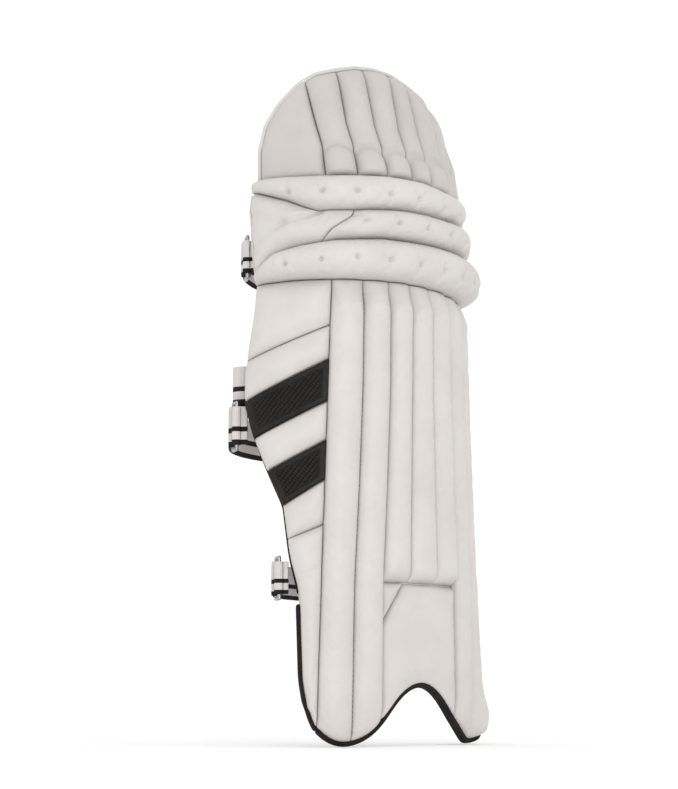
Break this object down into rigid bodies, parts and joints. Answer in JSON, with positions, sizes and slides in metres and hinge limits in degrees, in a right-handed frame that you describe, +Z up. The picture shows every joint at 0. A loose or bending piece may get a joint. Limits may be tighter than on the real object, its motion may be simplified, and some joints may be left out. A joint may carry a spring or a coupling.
{
  "type": "cricket leg pad",
  "caption": "Batting pad worn on the shin: padded upright ribs, quilted rolls across the knee, a rounded leaning top flap, a folding side wing and straps closing behind the leg.",
  "frame": {"origin": "on the leg axis, level with the lowest edge of the two instep lobes", "axes": "+Z up the leg to the top flap, the padded face looks along -Y, the outer-side wing is at -X"},
  "size_m": [0.2662, 0.2126, 0.6458],
  "materials": {
    "cover": "satin",
    "foam": "matte",
    "board": "matte",
    "lining": "matte",
    "binding": "matte",
    "mesh": "matte",
    "webbing": "matte",
    "hook": "matte",
    "ring": "brushed",
    "cane": "matte"
  },
  "bodies": {
    "shin": {"shin_board": "board", "shin_lining": "lining", "shin_bolsters": "lining", "rib_cover_1": "cover", "rib_cover_2": "cover", "rib_cover_6": "cover", "rib_cover_7": "cover", "rib_cover_short": "cover", "rib_foam_long": "foam", "rib_foam_short": "foam", "rib_canes": "cane", "instep_panel": "cover", "instep_corner": "cover", "side_flap": "cover", "foot_binding": "binding", "tongue_calf": "webbing", "tongue_ankle": "webbing"},
    "wing": {"wing_board": "board", "wing_lining": "lining", "wing_panel_top": "cover", "wing_panel_upper": "cover", "wing_mesh_upper": "mesh", "wing_panel_middle": "cover", "wing_mesh_lower": "mesh", "wing_panel_lower": "cover", "wing_panel_ankle": "cover", "wing_binding": "binding", "ring_tabs_wing": "webbing"},
    "knee_lower": {"knee_lower_board": "board", "knee_lower_lining": "lining", "knee_lower_cover": "cover", "knee_lower_foam": "foam", "ring_tab_knee": "webbing", "tongue_knee": "webbing"},
    "knee_mid": {"knee_mid_board": "board", "knee_mid_lining": "lining", "knee_mid_cover": "cover", "knee_mid_foam": "foam", "knee_side_strip": "cover", "knee_cup": "lining"},
    "knee_upper": {"knee_upper_board": "board", "knee_upper_lining": "lining", "knee_upper_cover": "cover", "knee_upper_foam": "foam"},
    "top_hat": {"hat_board": "board", "hat_lining": "lining", "hat_roll_covers": "cover", "hat_roll_foam": "foam", "hat_side_outer": "cover", "hat_side_inner": "cover", "hat_piping": "cover"},
    "ring_knee_body": {"ring_knee": "ring"},
    "strap_knee_body": {"strap_knee": "webbing"},
    "tab_knee_body": {"hook_tab_knee": "hook"},
    "ring_calf_body": {"ring_calf": "ring"},
    "strap_calf_body": {"strap_calf": "webbing"},
    "tab_calf_body": {"hook_tab_calf": "hook"},
    "ring_ankle_body": {"ring_ankle": "ring"},
    "strap_ankle_body": {"strap_ankle": "webbing"},
    "tab_ankle_body": {"hook_tab_ankle": "hook"}
  },
  "joints": [
    {"name": "wing_fold", "type": "hinge", "parent": "shin", "child": "wing", "pos_m": [-0.10043, -0.08279, 0.02], "axis": [0.0459, -0.0013, 0.9989], "range_deg": [0, 30]},
    {"name": "knee_lower_bend", "type": "hinge", "parent": "shin", "child": "knee_lower", "pos_m": [0, -0.1005, 0.433], "axis": [-1, 0, 0], "range_deg": [0, 6]},
    {"name": "knee_mid_bend", "type": "hinge", "parent": "knee_lower", "child": "knee_mid", "pos_m": [0, -0.1035, 0.4705], "axis": [-1, 0, 0], "range_deg": [0, 6]},
    {"name": "knee_upper_bend", "type": "hinge", "parent": "knee_mid", "child": "knee_upper", "pos_m": [0, -0.1095, 0.5], "axis": [-1, 0, 0], "range_deg": [0, 6]},
    {"name": "hat_bend", "type": "hinge", "parent": "knee_upper", "child": "top_hat", "pos_m": [0, -0.1085, 0.5285], "axis": [-1, 0, 0], "range_deg": [0, 6]},
    {"name": "ring_knee_turn", "type": "hinge", "parent": "knee_lower", "child": "ring_knee_body", "pos_m": [-0.12107, -0.00899, 0.46025], "axis": [0, 0, 1], "range_deg": [0, 25]},
    {"name": "strap_knee_open", "type": "hinge", "parent": "ring_knee_body", "child": "strap_knee_body", "pos_m": [-0.11366, 0.0017, 0.46025], "axis": [0, 0, 1], "range_deg": [0, 80]},
    {"name": "tab_knee_peel", "type": "hinge", "parent": "strap_knee_body", "child": "tab_knee_body", "pos_m": [0.04625, 0.04139, 0.46025], "axis": [0, 0, 1], "range_deg": [0, 100]},
    {"name": "ring_calf_turn", "type": "hinge", "parent": "wing", "child": "ring_calf_body", "pos_m": [-0.13681, -0.0128, 0.297], "axis": [0, 0, 1], "range_deg": [0, 25]},
    {"name": "strap_calf_open", "type": "hinge", "parent": "ring_calf_body", "child": "strap_calf_body", "pos_m": [-0.13095, -0.0012, 0.297], "axis": [0, 0, 1], "range_deg": [0, 80]},
    {"name": "tab_calf_peel", "type": "hinge", "parent": "strap_calf_body", "child": "tab_calf_body", "pos_m": [0.05164, 0.05454, 0.297], "axis": [0, 0, 1], "range_deg": [0, 100]},
    {"name": "ring_ankle_turn", "type": "hinge", "parent": "wing", "child": "ring_ankle_body", "pos_m": [-0.11843, -0.05201, 0.154], "axis": [0, 0, 1], "range_deg": [0, 25]},
    {"name": "strap_ankle_open", "type": "hinge", "parent": "ring_ankle_body", "child": "strap_ankle_body", "pos_m": [-0.11183, -0.04081, 0.154], "axis": [0, 0, 1], "range_deg": [0, 80]},
    {"name": "tab_ankle_peel", "type": "hinge", "parent": "strap_ankle_body", "child": "tab_ankle_body", "pos_m": [0.05815, 0.00599, 0.154], "axis": [0, 0, 1], "range_deg": [0, 100]}
  ],
  "couplings": [
    {"joint": "knee_mid_bend", "follows": "knee_lower_bend", "ratio": 1},
    {"joint": "knee_upper_bend", "follows": "knee_lower_bend", "ratio": 1},
    {"joint": "hat_bend", "follows": "knee_lower_bend", "ratio": 1}
  ]
}
